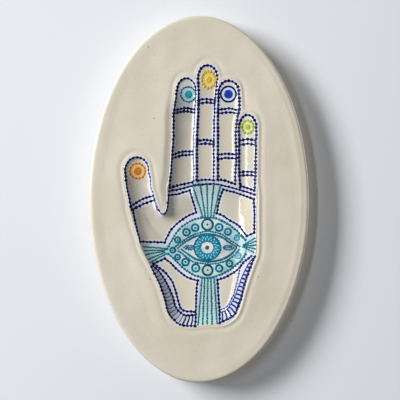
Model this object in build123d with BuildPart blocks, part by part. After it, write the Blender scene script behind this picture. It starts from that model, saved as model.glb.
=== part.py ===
from build123d import *
import os
from math import asin, cos, degrees, radians, sin

# Hamsa hand wall plaque: an oval ceramic slab with a hand pressed into its face, a foot ring and a
# wire hanger on its back. Millimetres, +Z up, the face looks along -Y. The origin is the point where
# the hanging nail enters the wall, so the wall is the plane Y = 0.

# Oval slab
plaque_width = 150.0
plaque_height = 250.0
slab_thickness = 11.0
front_edge_radius = 3.0
back_edge_radius = 3.0

# Foot ring, a coil of clay on the slab's back, and the rubber bumpers on it
foot_inset = 24.0  # from the slab's edge to the ring's outside
foot_width = 10.0
foot_edge_radius = 1.0
bumper_margin = 0.5  # from the bumpers to the ring's rounded edges
bumper_thickness = 1.5
bumper_edge_radius = 0.6
bumper_angles = (40, 140, 220, 320)  # round the ring, from its right side

# Hanger: a wire bail that turns in two pierced lugs
nail_diameter = 3.0
nail_above_center = 75.0
wire_diameter = 2.0
pin_clearance = 0.08  # round the bail's pins
side_clearance = 0.5  # between the bail's bends and the lugs, and from the pins' ends to the lugs' sides
rest_clearance = 0.3  # between the leaning bail and the slab's back
bail_width = 26.0  # between the legs' middles
bail_height = 26.0  # from the pins' axis to the middle of the top wire
bail_top_flat = 2.0  # straight run between the top bends
bail_pin_radius = 3.0  # of the bends at the pins
lug_width = 6.0
lug_foot_length = 12.0
lug_foot_thickness = 1.2
lug_floor = 2.3  # clay under the pin hole
lug_wall = 1.5  # clay round the rest of the pin hole
lug_recess = 0.5  # from the lugs' tops to the foot ring's back

# Lip of clay round the pressed hand
lip_height = 0.6
lip_width = 2.2
lip_slope = 50.0  # degrees, of its outer side

# Fingers: the middles of each channel's round ends, from the plaque's centre, with the half width at
# the lip and the depth below the lip at each end
fingers = {
    "thumb": dict(base=(-37.8, -7.0), tip=(-42.4, 20.3), halves=(9.7, 9.5), depths=(4.2, 4.8)),
    "index": dict(base=(-11.8, 10.0), tip=(-8.8, 75.6), halves=(9.0, 8.1), depths=(5.6, 4.8)),
    "middle": dict(base=(4.1, 10.0), tip=(5.9, 85.2), halves=(7.0, 7.7), depths=(4.0, 3.2)),
    "ring": dict(base=(18.7, 10.0), tip=(20.2, 73.8), halves=(7.3, 8.1), depths=(3.6, 3.0)),
    "little": dict(base=(32.8, 8.0), tip=(33.0, 51.7), halves=(6.6, 7.0), depths=(3.2, 3.0)),
}

# Fingertip spots: a round daub in a ring, as the drop below the middle of the finger's round tip, the
# daub's radius and the ring's inner radius
spots = {
    "thumb": dict(drop=1.0, daub=2.7, ring=4.7),
    "index": dict(drop=3.6, daub=2.8, ring=4.5),
    "middle": dict(drop=3.4, daub=2.4, ring=4.5),
    "ring": dict(drop=1.8, daub=2.8, ring=4.7),
    "little": dict(drop=1.6, daub=1.9, ring=3.6),
}
spot_ring_width = 1.0

# Palm: the corners of its edge at the lip, from the plaque's centre, each with its own rounding
palm_corners = (
    ((-21.5, 9.0), 6.0),
    ((-23.0, -10.0), 2.0),
    ((-46.6, -8.0), 6.0),
    ((-40.5, -30.5), 20.0),
    ((-27.0, -58.0), 20.0),
    ((-21.0, -80.0), 9.0),
    ((-6.0, -88.0), 14.0),
    ((15.0, -86.0), 14.0),
    ((28.0, -75.0), 14.0),
    ((39.2, -37.0), 14.0),
    ((39.2, 9.0), 6.0),
)
palm_depth = 6.0  # below the lip, at the deepest
palm_trough_radius = 300.0
palm_wall_radius = 5.0  # between the palm's floor and its wall

# Glaze in the hand and the coloured enamel on it
glaze_thickness = 0.5
enamel_thickness = 0.25

# Eye in the palm, with the lens-shaped panel round it
eye_center = (5.0, -32.8)
eye_tilt = 4.0  # degrees, its right corner up
eye_half_length = 20.5
eye_half_height = 10.2
lid_width = 1.4
iris_radius = 9.2
iris_width = 4.8
pupil_radius = 1.3
panel_half_length = 27.0
panel_half_height = 20.2

# Circlets, halfway between the lids and the panel's edge: the share of the way from the eye's middle to
# its corner, and the radius
circlets = ((0.0, 3.7), (0.28, 2.6), (0.52, 2.4), (0.79, 2.0))
circlet_line = 0.8

# Rays: lines that fan out from the panel
ray_count = 5
ray_width = 0.9
ray_gap = 1.0  # from the panel to the rays
upper_ray_length = 14.0
upper_ray_spreads = (7.0, 15.0)  # near the panel and at the far end
lower_ray_length = 26.0
lower_ray_spreads = (8.0, 12.5)

# Sizes that follow from those above
half_width = plaque_width / 2
half_height = plaque_height / 2
wire_radius = wire_diameter / 2
pin_hole_radius = wire_radius + pin_clearance
lug_radius = pin_hole_radius + lug_wall
pin_above_slab = lug_floor + pin_hole_radius
foot_height = pin_above_slab + lug_radius + lug_recess
foot_flat = foot_width - 2 * foot_edge_radius
bumper_diameter = foot_flat - 2 * bumper_margin
bail_top_radius = (bail_width - bail_top_flat) / 2

# Levels along Y, from the wall towards the viewer
foot_back_y = -bumper_thickness
slab_back_y = foot_back_y - foot_height
face_y = slab_back_y - slab_thickness
crest_y = face_y - lip_height
through_slab = slab_thickness + lip_height

# Places of the hanger
center_z = -nail_above_center
pin_y = slab_back_y + pin_above_slab
bail_lean = asin((pin_above_slab - wire_radius - rest_clearance) / bail_height)
pin_z = (nail_diameter + wire_diameter) / 2 - bail_height * cos(bail_lean)
leg_x = bail_width / 2
lug_inner_x = leg_x + bail_pin_radius + side_clearance
pin_end_x = lug_inner_x + lug_width - side_clearance
tool_margin = 10.0  # how far a cutting tool runs past the lip

os.makedirs("parts", exist_ok=True)


def facing(y, across=0.0, up=0.0, tilt=0.0):
    """Plane at one level, seen from the front: local X is right and local Y is up from a point on the plaque."""
    x_dir = (cos(radians(tilt)), 0, sin(radians(tilt)))
    return Plane(origin=(across, y, center_z + up), x_dir=x_dir, z_dir=(0, -1, 0))


def write(piece, label):
    """Name one finished piece and save it."""
    piece.part.label = label
    export_step(piece.part, f"parts/{label}.step")


def palm_face(growth):
    """Palm's outline in the current sketch, grown outwards or, below zero, shrunk."""
    corners, roundings = zip(*palm_corners)
    with BuildLine() as outline:
        FilletPolyline(*corners, radius=list(roundings), close=True)
    make_face(outline.edges())
    if growth:
        offset(amount=growth, mode=Mode.REPLACE)


def lens_face(half_length, half_height, mode=Mode.ADD):
    """Pointed lens between two arcs, in the current sketch."""
    with BuildLine() as outline:
        ThreePointArc((-half_length, 0), (0, half_height), (half_length, 0))
        ThreePointArc((half_length, 0), (0, -half_height), (-half_length, 0))
    make_face(outline.edges(), mode=mode)


def trough(inset):
    """Wide upright cylinder whose lowest line is the palm's floor, thinned by inset."""
    axis_y = crest_y + palm_depth - palm_trough_radius
    with BuildPart() as cylinder:
        with BuildSketch(Plane.XY.offset(center_z - plaque_height)):
            with Locations((0, axis_y)):
                Circle(palm_trough_radius - inset)
        extrude(amount=2 * plaque_height)
    return cylinder.part


def palm_tool(inset, top):
    """Palm's hollow as a solid, thinned by inset and cut off at top above the lip."""
    with BuildPart() as hollow:
        with BuildSketch(facing(crest_y - tool_margin)):
            palm_face(-inset)
        extrude(amount=-(tool_margin + through_slab))
        add(trough(inset), mode=Mode.INTERSECT)
        floor = hollow.faces().filter_by(GeomType.CYLINDER).sort_by(SortBy.AREA)[-1]
        fillet(floor.edges(), palm_wall_radius - inset)
        split(bisect_by=facing(crest_y - top), keep=Keep.BOTTOM)
    return hollow.part


def finger_tool(finger, inset, top):
    """One finger's rounded, tapered channel as a solid, thinned by inset and cut off at top above the lip."""
    ends = []
    radii = []
    for (across, up), half, depth in zip((finger["base"], finger["tip"]), finger["halves"], finger["depths"]):
        rise = (half**2 - depth**2) / (2 * depth)
        ends.append(Vector(across, crest_y - rise, center_z + up))
        radii.append(rise + depth - inset)
    along = ends[1] - ends[0]
    reach = along.length + sum(radii)
    with BuildPart() as channel:
        with BuildSketch(Plane(origin=ends[0], x_dir=along, z_dir=along.cross(Vector(1, 0, 0)))):
            Circle(radii[0])
            with Locations((along.length, 0)):
                Circle(radii[1])
            make_hull()
            Rectangle(2 * reach, reach, align=(Align.CENTER, Align.MIN), mode=Mode.INTERSECT)
        revolve(axis=Axis(ends[0], along))
        split(bisect_by=facing(crest_y - top), keep=Keep.BOTTOM)
    return channel.part


def hand_tool(inset, top):
    """Whole pressed hand as a solid, thinned by inset on every wall and cut off at top above the lip."""
    with BuildPart() as hand:
        add(palm_tool(inset, top))
        for finger in fingers.values():
            add(finger_tool(finger, inset, top))
    return hand.part


def palm_coat(layer):
    """Curved sheet of enamel over the palm, in the first, second or third layer on the glaze."""
    outside = glaze_thickness + (layer - 1) * enamel_thickness
    with BuildPart() as sheet:
        add(trough(outside))
        add(trough(outside + enamel_thickness), mode=Mode.SUBTRACT)
    return sheet.part


def finger_coat(finger):
    """Curved sheet of enamel over one finger's glaze."""
    with BuildPart() as sheet:
        add(finger_tool(finger, glaze_thickness, 0))
        add(finger_tool(finger, glaze_thickness + enamel_thickness, 0), mode=Mode.SUBTRACT)
    return sheet.part


# Slab: the oval with its lip, less the hand
with BuildPart() as plaque_slab:
    with BuildSketch(facing(slab_back_y)):
        Ellipse(half_width, half_height)
    extrude(amount=slab_thickness)
    fillet(plaque_slab.edges().group_by(Axis.Y)[0], front_edge_radius)
    fillet(plaque_slab.edges().group_by(Axis.Y)[-1], back_edge_radius)
    for finger in fingers.values():
        with BuildSketch(facing(face_y)):
            for end, half in zip((finger["base"], finger["tip"]), finger["halves"]):
                with Locations(end):
                    Circle(half + lip_width)
            make_hull()
        extrude(amount=lip_height, taper=lip_slope)
    with BuildSketch(facing(face_y)):
        palm_face(lip_width)
    extrude(amount=lip_height, taper=lip_slope)
    add(hand_tool(0, tool_margin), mode=Mode.SUBTRACT)
write(plaque_slab, "plaque_slab")

# Glaze: a thin lining of the whole hand, up to the lip
with BuildPart() as hand_glaze:
    add(hand_tool(0, 0))
    add(hand_tool(glaze_thickness, tool_margin), mode=Mode.SUBTRACT)
write(hand_glaze, "hand_glaze")

# Foot ring on the slab's back
with BuildPart() as foot_ring:
    with BuildSketch(facing(foot_back_y)):
        Ellipse(half_width - foot_inset, half_height - foot_inset)
        Ellipse(half_width - foot_inset - foot_width, half_height - foot_inset - foot_width, mode=Mode.SUBTRACT)
    extrude(amount=foot_height)
    fillet(foot_ring.edges().group_by(Axis.Y)[-1], foot_edge_radius)
write(foot_ring, "foot_ring")

# Rubber bumpers on the foot ring, round at the edge that meets the wall
with BuildPart() as wall_bumpers:
    row_half_width = half_width - foot_inset - foot_width / 2
    row_half_height = half_height - foot_inset - foot_width / 2
    with BuildSketch(facing(0)):
        for angle in bumper_angles:
            with Locations((row_half_width * cos(radians(angle)), row_half_height * sin(radians(angle)))):
                Circle(bumper_diameter / 2)
    extrude(amount=bumper_thickness)
    fillet(wall_bumpers.edges().group_by(Axis.Y)[-1], bumper_edge_radius)
write(wall_bumpers, "wall_bumpers")

# Lugs: clay ears with a wide foot and a hole for the bail's pin
for side, label in ((-1, "left_lug"), (1, "right_lug")):
    middle_x = side * (lug_inner_x + lug_width / 2)
    with BuildPart() as lug:
        with BuildSketch(Plane(origin=(middle_x, pin_y, pin_z), x_dir=(0, 0, 1), z_dir=(-1, 0, 0))):
            Circle(lug_radius)
            with Locations((0, -pin_above_slab)):
                Rectangle(lug_foot_length, lug_foot_thickness, align=(Align.CENTER, Align.MIN))
            make_hull()
            with Locations((0, -pin_above_slab)):
                Rectangle(lug_foot_length, foot_height, align=(Align.CENTER, Align.MIN), mode=Mode.INTERSECT)
            Circle(pin_hole_radius, mode=Mode.SUBTRACT)
        extrude(amount=lug_width / 2, both=True)
    write(lug, label)

# Bail: one bent wire, its pins turned outwards into the lugs, leaning on the slab's back
bail_plane = Plane(origin=(0, pin_y, pin_z), x_dir=(1, 0, 0), z_dir=(0, -cos(bail_lean), -sin(bail_lean)))
with BuildPart() as hanging_bail:
    with BuildLine(bail_plane) as wire_path:
        FilletPolyline(
            (-pin_end_x, 0),
            (-leg_x, 0),
            (-leg_x, bail_height),
            (leg_x, bail_height),
            (leg_x, 0),
            (pin_end_x, 0),
            radius=[bail_pin_radius, bail_top_radius, bail_top_radius, bail_pin_radius],
        )
    with BuildSketch(Plane(origin=wire_path.line @ 0, z_dir=wire_path.line % 0)):
        Circle(wire_radius)
    sweep(path=wire_path.line)
write(hanging_bail, "hanging_bail")

# Fingertip spots: a daub in a ring, on the glaze of each finger
for name, spot in spots.items():
    tip_x, tip_up = fingers[name]["tip"]
    with BuildPart() as tip_spot:
        with BuildSketch(facing(crest_y, tip_x, tip_up - spot["drop"])):
            Circle(spot["ring"] + spot_ring_width)
            Circle(spot["ring"], mode=Mode.SUBTRACT)
            Circle(spot["daub"])
        extrude(amount=-through_slab)
        add(finger_coat(fingers[name]), mode=Mode.INTERSECT)
    write(tip_spot, f"{name}_spot")

# Eye: a pale panel, then the white, the lids and the circlets on it, then the iris and the pupil
eye_plane = facing(crest_y, *eye_center, eye_tilt)

with BuildPart() as eye_panel:
    with BuildSketch(eye_plane):
        lens_face(panel_half_length, panel_half_height)
    extrude(amount=-through_slab)
    add(palm_coat(1), mode=Mode.INTERSECT)
write(eye_panel, "eye_panel")

with BuildPart() as eye_white:
    with BuildSketch(eye_plane):
        lens_face(eye_half_length - lid_width, eye_half_height - lid_width)
    extrude(amount=-through_slab)
    add(palm_coat(2), mode=Mode.INTERSECT)
write(eye_white, "eye_white")

with BuildPart() as eye_lids:
    with BuildSketch(eye_plane):
        lens_face(eye_half_length, eye_half_height)
        lens_face(eye_half_length - lid_width, eye_half_height - lid_width, mode=Mode.SUBTRACT)
    extrude(amount=-through_slab)
    add(palm_coat(2), mode=Mode.INTERSECT)
write(eye_lids, "eye_lids")

with BuildPart() as eye_iris:
    with BuildSketch(eye_plane):
        Circle(iris_radius)
        Circle(iris_radius - iris_width, mode=Mode.SUBTRACT)
        lens_face(eye_half_length - lid_width, eye_half_height - lid_width, mode=Mode.INTERSECT)
    extrude(amount=-through_slab)
    add(palm_coat(3), mode=Mode.INTERSECT)
write(eye_iris, "eye_iris")

with BuildPart() as eye_pupil:
    with BuildSketch(eye_plane):
        Circle(pupil_radius)
    extrude(amount=-through_slab)
    add(palm_coat(3), mode=Mode.INTERSECT)
write(eye_pupil, "eye_pupil")

with BuildLine() as circlet_row:
    row_length = (panel_half_length + eye_half_length) / 2
    row_height = (panel_half_height + eye_half_height) / 2
    ThreePointArc((-row_length, 0), (0, row_height), (row_length, 0))
with BuildPart() as eye_circlets:
    with BuildSketch(eye_plane):
        for share, radius in circlets:
            right = circlet_row.line @ ((1 + share) / 2)
            for side_x in (-1, 1) if share else (1,):
                with Locations((side_x * right.X, right.Y), (side_x * right.X, -right.Y)):
                    Circle(radius)
                    Circle(radius - circlet_line, mode=Mode.SUBTRACT)
    extrude(amount=-through_slab)
    add(palm_coat(2), mode=Mode.INTERSECT)
write(eye_circlets, "eye_circlets")

# Rays: two fans of straight lines, above and below the panel
with BuildPart() as palm_rays:
    with BuildSketch(eye_plane):
        fans = ((1, upper_ray_length, upper_ray_spreads), (-1, lower_ray_length, lower_ray_spreads))
        for direction, length, (near_spread, far_spread) in fans:
            near = direction * (panel_half_height + ray_gap)
            far = near + direction * length
            for ray in range(ray_count):
                share = ray / (ray_count - 1) - 0.5
                with BuildLine():
                    Polyline(
                        (share * near_spread - ray_width / 2, near),
                        (share * far_spread - ray_width / 2, far),
                        (share * far_spread + ray_width / 2, far),
                        (share * near_spread + ray_width / 2, near),
                        close=True,
                    )
                make_face()
    extrude(amount=-through_slab)
    add(palm_coat(1), mode=Mode.INTERSECT)
write(palm_rays, "palm_rays")

print("bail leans", round(degrees(bail_lean), 2), "pin at", round(pin_y, 3), round(pin_z, 3), "pin end", pin_end_x)
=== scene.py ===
# %% [markdown]
# A hamsa wall plaque: an oval slab of cream clay with a hand pressed into its face.
# The hand is glazed, and enamel dots follow every edge of it, with an eye in the palm.
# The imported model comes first. It is the frame that every piece below has to fit.

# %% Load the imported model
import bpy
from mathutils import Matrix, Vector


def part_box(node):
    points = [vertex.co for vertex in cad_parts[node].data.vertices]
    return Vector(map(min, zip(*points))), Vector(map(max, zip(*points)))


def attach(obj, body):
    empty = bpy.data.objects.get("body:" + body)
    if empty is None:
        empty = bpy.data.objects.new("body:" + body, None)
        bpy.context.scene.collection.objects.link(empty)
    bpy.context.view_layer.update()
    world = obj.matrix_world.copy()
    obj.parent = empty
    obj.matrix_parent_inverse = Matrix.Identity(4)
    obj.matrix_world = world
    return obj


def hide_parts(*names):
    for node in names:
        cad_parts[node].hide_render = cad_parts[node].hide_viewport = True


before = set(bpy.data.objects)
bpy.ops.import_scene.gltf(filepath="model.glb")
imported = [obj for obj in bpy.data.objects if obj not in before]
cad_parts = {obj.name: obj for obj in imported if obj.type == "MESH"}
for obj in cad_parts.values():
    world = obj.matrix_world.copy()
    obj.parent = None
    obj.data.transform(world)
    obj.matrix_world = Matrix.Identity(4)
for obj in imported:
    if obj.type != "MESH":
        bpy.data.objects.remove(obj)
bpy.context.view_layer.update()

import math
import random

import bpy
import numpy as np
from mathutils import Vector
from mathutils.kdtree import KDTree

MM = 0.001

# %% [markdown]
# The slab's box gives the sizes that the visible plaque has to keep.
# Everything below is drawn in millimetres from the middle of the oval, x to the right and z up,
# and turned into metres only when a mesh is made.

# %% Sizes of the plaque
LIP_HEIGHT = 0.6
FRONT_EDGE = 3.0
slab_low, slab_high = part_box("plaque_slab")
HALF_WIDTH = slab_high[0] / MM
HALF_HEIGHT = (slab_high[2] - slab_low[2]) / 2 / MM
CENTER_Z = (slab_high[2] + slab_low[2]) / 2 / MM
FACE_Y = slab_low[1] / MM + LIP_HEIGHT
BACK_Y = slab_high[1] / MM
FLAT_HALF_WIDTH = HALF_WIDTH - FRONT_EDGE
FLAT_HALF_HEIGHT = HALF_HEIGHT - FRONT_EDGE
print(f"oval {2 * HALF_WIDTH:.1f} x {2 * HALF_HEIGHT:.1f} mm, face at {FACE_Y:.2f}, back at {BACK_Y:.2f}")

# %% [markdown]
# Lines on a hand-made piece are never straight, so each is a Catmull-Rom curve:
# it goes through every point that is given and bends softly between them.
# A second helper walks along a curve in equal steps, as a painter does with a dotting tool.


# %% Curves through hand-picked points
def smooth_curve(points, closed=False, steps=8):
    """A soft curve through the points, as an array of closer points."""
    knots = np.asarray(points, float)
    if closed:
        knots = np.vstack([knots[-1:], knots, knots[:2]])
    else:
        knots = np.vstack([2 * knots[0] - knots[1], knots, 2 * knots[-1] - knots[-2]])
    share = np.linspace(0, 1, steps, endpoint=False)[:, None]
    runs = []
    for a, b, c, d in zip(knots, knots[1:], knots[2:], knots[3:]):
        bend = (c - a) * share + (2 * a - 5 * b + 4 * c - d) * share**2 + (3 * b - a - 3 * c + d) * share**3
        runs.append(b + bend / 2)
    if not closed:
        runs.append(knots[-2:-1])
    return np.vstack(runs)


def even_points(curve, spacing):
    """Points along a curve, about that far apart, with both of its ends."""
    lengths = np.concatenate([[0], np.cumsum(np.hypot(*np.diff(curve, axis=0).T))])
    count = max(2, round(lengths[-1] / spacing) + 1)
    places = np.linspace(0, lengths[-1], count)
    return np.stack([np.interp(places, lengths, column) for column in curve.T], axis=1)


print("a test curve has", len(even_points(smooth_curve([(0, 0), (10, 5), (20, 0)]), 2)), "points")

# %% [markdown]
# The hand was pressed into soft clay, so it is a set of hollows: five channels for the fingers
# and one wide bowl for the palm and wrist. Each finger is a short list of levels,
# with the height, the left edge and the right edge of its dotted line, and the height of its tip.
# Levels are easier to correct than a sculpted mesh, and they give smooth walls.
# The hand was not pressed in level: most channels are deepest towards their right (low, from -1 to 1).
# From there the floor rises by its own amount to each side, and a steep wall closes it.
# A channel may get shallow towards its tip (shoal), run on into the palm and flare there,
# or have a crease in its floor.

# %% The hand's outline
FINGERS = {
    "thumb": dict(
        levels=[(-7, -46, -28.6), (2.5, -48, -31), (8, -49, -32.8), (13.5, -49.7, -33.4), (19, -50.4, -34.3)],
        tip=28.6,
        deep=4.9,
        rises=(4.1, 0.45),
        low=0.45,
        shoal=(0.55, 20),
        runs_on=8.0,
        flare=(0.25, 0.9),
    ),
    "index": dict(
        levels=[
            (10, -20, -4), (20, -19, -3.7), (32, -18.3, -4),
            (44, -17.4, -3.7), (58, -17.2, -3), (74, -15, -2.2),
        ],
        tip=82.3,
        deep=6.2,
        rises=(5.6, 0.2),
        low=0.9,
        shoal=(0.7, 28),
    ),
    "middle": dict(
        levels=[
            (13, -1.5, 9.8), (36, -1.5, 10), (50, -1, 10.2),
            (65, -0.4, 10.7), (75, -0.4, 11.5), (83, -0.7, 12.3),
        ],
        tip=91.2,
        deep=1.6,
        rises=(1.25, 0.1),
        low=0.85,
    ),
    "ring": dict(
        levels=[
            (13, 12.8, 24.5), (28, 12.8, 25.2), (46, 12.8, 25),
            (56, 12.8, 26.3), (63, 12.9, 27.4), (73, 13.3, 27),
        ],
        tip=80.7,
        deep=1.1,
        rises=(0.8, 0.9),
        low=0.45,
    ),
    "little": dict(
        levels=[(8, 27.9, 37.8), (20, 27.2, 38.3), (35, 27.2, 38.5), (49, 27.2, 38.8)],
        tip=57.4,
        deep=1.3,
        rises=(0.7, 0.5),
        low=-0.26,
        crease=0.25,
    ),
}
PALM_OUTLINE = [
    (-22.2, 8), (-22, 0), (-22.9, -6.5), (-24.8, -8.7), (-28, -6), (-34, -2), (-42, -2), (-47.4, -6),
    (-46.2, -12), (-42.4, -25), (-39.8, -34.5), (-34, -46), (-28, -58), (-24, -71), (-20.8, -80.8),
    (-15.6, -85.4), (-8, -87.6), (0, -87), (8, -86.2), (16, -85.4), (22.8, -81.6), (27, -75.2),
    (31.3, -60.5), (36, -46), (39, -38), (39.6, -28), (39.5, -8), (39.2, 6), (35, 11.5), (20, 15),
    (4, 16), (-11, 14.5), (-19.5, 12),
]
print("fingers:", ", ".join(FINGERS))

# %% [markdown]
# The relief is one function of x and z. Inside a hollow the clay falls over a wall to a tilted floor;
# just outside, the displaced clay stands up as a low lip and falls into a soft groove.
# A displacement texture could do this too, but a function can also be asked how deep the hand is
# at any place and how far its edge is from there, which the glaze and its washes need to know.


# %% Soft steps
def soft_positive(value, softness):
    """Like max(value, 0), with its corner rounded."""
    return (value + np.sqrt(value**2 + softness**2)) / 2


def fade(value, full, gone):
    """1 on one side of a value, falling softly to 0 at the other."""
    share = np.clip((gone - value) / (gone - full), 0, 1)
    return share**2 * (3 - 2 * share)


def hump(away, half):
    """1 in the middle of a rise, falling softly to both sides."""
    return np.exp(-((away / half) ** 2))


print("half way out, a fade is", fade(0.5, 0, 1), "and a hump", hump(0.5, 1).round(2))

# %% [markdown]
# A place in a finger's channel is measured across it, from -1 at its left edge to 1 at its right,
# and past its tip and root. The floor climbs away from its lowest line, and a high power of the distance
# makes the wall steep.

# %% Hollows of the fingers
HOLLOW_MARGIN = 0.4
ROOT_FADE = 14.0
PLAIN_SHOAL = (0.25, 20)
OPEN_SIDE = 0.25
RIGHT_CLIMB = 1.3
CREASE_RISE = 5
WALL_POWER = 16
WALL_SOFT = 0.2


def finger_hollow(finger, x, z):
    """Depth of a finger's channel, and the distance out from its edge."""
    table = smooth_curve(finger["levels"])
    root, top = table[0, 0], table[-1, 0]
    past_root = np.maximum(root - z, 0)
    flare_left, flare_right = finger.get("flare", (0, 0))
    left = np.interp(z, table[:, 0], table[:, 1]) - HOLLOW_MARGIN + flare_left * past_root
    right = np.interp(z, table[:, 0], table[:, 2]) + HOLLOW_MARGIN + flare_right * past_root
    half = (right - left) / 2
    across = (x - (left + right) / 2) / half
    beyond_top = np.maximum((z - top) / (finger["tip"] + HOLLOW_MARGIN - top), 0)
    below_root = np.maximum((past_root - finger.get("runs_on", 0)) / ROOT_FADE, 0)
    lean = np.clip(across, -1, 1) - finger["low"]
    rise_left, rise_right = finger["rises"]
    rise = np.where(lean < 0, rise_left, rise_right)
    share = np.abs(lean) / np.where(lean < 0, 1 + finger["low"], 1 - finger["low"])
    climb = rise * np.where(lean < 0, share**2, share**RIGHT_CLIMB)
    climb += finger.get("crease", 0) * np.where(lean < 0, 0, 1 - np.exp(-CREASE_RISE * share))
    shoal, shoal_run = finger.get("shoal", PLAIN_SHOAL)
    shallow = shoal * fade(z, finger["tip"], finger["tip"] - shoal_run)
    open_side = OPEN_SIDE * np.minimum(past_root / ROOT_FADE, 1) * fade(-across, -1, 0)
    floor = (finger["deep"] - climb) * (1 - shallow) * (1 - open_side)
    wall = soft_positive(1 - np.minimum(np.hypot(across, beyond_top), 2) ** WALL_POWER, WALL_SOFT)
    out = (np.hypot(across, np.maximum(beyond_top, below_root)) - 1) * half
    return (1 - np.minimum(below_root, 1) ** 2) * wall * floor, out


for name, finger in FINGERS.items():
    test_level, test_left, test_right = finger["levels"][1]
    test_x = np.linspace(test_left, test_right, 9)
    test_depth, _ = finger_hollow(finger, test_x, np.full(9, float(test_level)))
    print(name, "is", test_depth.max().round(1), "mm deep near its root")

# %% [markdown]
# The palm has a steep wall on its left and a long ramp on its right, and the two are blended in the middle.
# Its depth at a place follows from how far inside its outline that is. The wall is deeper in the upper palm,
# steeper beside the notch between thumb and index, and the ramp has a shelf beside the eye.

# %% Hollow of the palm
PALM_INSET = 0.9
PALM_BLEND = (20, -12)
UPPER_PALM = (20, 60)
NOTCH_X = -24
NOTCH_Z = -9
NOTCH_RUN = 9
NOTCH_STEEP = 3
SLOPE_RUN = 14
SLOPE_RUN_UPPER = 18
SLOPE_DEEP = 2.4
SLOPE_DEEP_UPPER = 1.6
WALL_RUN = 7
WALL_DEEP = 1.9
WALL_DEEP_UPPER = 0.6
RIGHT_DEEP = 2.4
RIGHT_DEEP_UPPER = 1.1
RAMP = 0.3
SHELF_Z = -18
SHELF_TALL = (4, 13)
SHELF_RAMP = 0.083
SHELF_START = 7.5
SHELF_SOFT = 0.7
RAMP_SOFT = 0.1
PALM_SOFT = 0.2


def inside_distance(outline, x, z):
    """Distance to a closed outline, above 0 inside it and below 0 outside."""
    nearest = np.full(np.shape(x), np.inf)
    inside = np.zeros(np.shape(x), bool)
    for (x0, z0), (x1, z1) in zip(outline, np.roll(outline, -1, axis=0)):
        run_x, run_z = x1 - x0, z1 - z0
        share = np.clip(((x - x0) * run_x + (z - z0) * run_z) / (run_x**2 + run_z**2), 0, 1)
        nearest = np.minimum(nearest, (x - x0 - share * run_x) ** 2 + (z - z0 - share * run_z) ** 2)
        if run_z:
            inside ^= ((z0 > z) != (z1 > z)) & (x < x0 + (z - z0) * run_x / run_z)
    return np.where(inside, 1, -1) * np.sqrt(nearest)


palm_curve = smooth_curve(PALM_OUTLINE, closed=True, steps=6)


def palm_hollow(x, z):
    """Depth of the palm and wrist, and the distance out from their edge."""
    within = inside_distance(palm_curve, x, z) - PALM_INSET
    right_side = fade(x, *PALM_BLEND)
    upper = fade(-z, *UPPER_PALM)
    beside_notch = np.exp(-((x - NOTCH_X) ** 2 + (z - NOTCH_Z) ** 2) / NOTCH_RUN**2)
    under_index = (1 - fade(x, -27, -15)) * fade(-z, 6, 17)
    steep = within * (1 + NOTCH_STEEP * beside_notch * (1 - under_index))
    slope = 1 - (1 - np.minimum(steep / (SLOPE_RUN + SLOPE_RUN_UPPER * upper), 1)) ** 2
    wall = 1 - (1 - np.minimum(steep / WALL_RUN, 1)) ** 2
    slope_depth = (SLOPE_DEEP + SLOPE_DEEP_UPPER * upper) * slope
    wall_depth = (WALL_DEEP + WALL_DEEP_UPPER * upper) * wall
    left_depth = slope_depth + wall_depth
    right_floor = RIGHT_DEEP + RIGHT_DEEP_UPPER * fade(-z, 35, 65)
    shelf = fade(np.abs(z - SHELF_Z), *SHELF_TALL)
    ramp = RAMP * within - SHELF_RAMP * shelf * soft_positive(within - SHELF_START, SHELF_SOFT)
    right_depth = right_floor * (1 - soft_positive(1 - ramp / right_floor, RAMP_SOFT))
    return soft_positive(left_depth * (1 - right_side) + right_depth * right_side, PALM_SOFT), -within


palm_test, _ = palm_hollow(np.array([-20.0, 5.0, 30.0]), np.full(3, -33.0))
print("palm depth at its left, middle and right:", palm_test.round(1))

# %% [markdown]
# All hollows are joined softly into one hand, and the relief adds what the hand does to the clay round it:
# a lip, a groove outside it, a sag beside the index and a shallow basin round the other fingers.
# The rest of the face swells slowly, as clay does that was smoothed by hand.

# %% Relief of the face
JOIN_POWER = 6
RIM_DROOP = 0.3
FULL_TURN = 6.28
LIP_LEAST = 0.06
LIP_MORE = 0.14
LIP_RIGHT = 0.1
LIP_OUT = 0.8
LIP_HALF = 0.9
GROOVE_DEEP = 0.2
GROOVE_OUT = 2.9
GROOVE_HALF = 1.5
SAG_X = -20
SAG_HALF = 7
SAG_Z = 30
SAG_TALL = (25, 45)
SAG_DEEP = 1.1
SAG_OUT = (1.0, 6.5)
BASIN_X = 16
BASIN_WIDE = (13, 25)
BASIN_Z = 35
BASIN_TALL = (30, 55)
BASIN_DEEP = 0.7
SWELL = 0.45


def hand_hollow(x, z):
    """Depth of the pressed hand, and the distance out from its edge, below 0 inside."""
    hollows = [palm_hollow(x, z)] + [finger_hollow(finger, x, z) for finger in FINGERS.values()]
    depth = sum(each**JOIN_POWER for each, _ in hollows) ** (1 / JOIN_POWER)
    out = -np.log(sum(np.exp(-np.clip(each, -30, 60)) for _, each in hollows))
    return depth, out


waves = random.Random(11)
WAVES = [(waves.uniform(18, 55), waves.uniform(0, FULL_TURN), waves.uniform(0, FULL_TURN)) for _ in range(7)]


def ripple(x, z):
    """The slow unevenness of clay smoothed by hand, from -1 to 0."""
    total = 0
    for long, turn, start in WAVES:
        along = x * math.cos(turn) + z * math.sin(turn)
        total = total + np.sin(along / long * FULL_TURN + start)
    return total / len(WAVES) / 2 - 0.5


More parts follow.
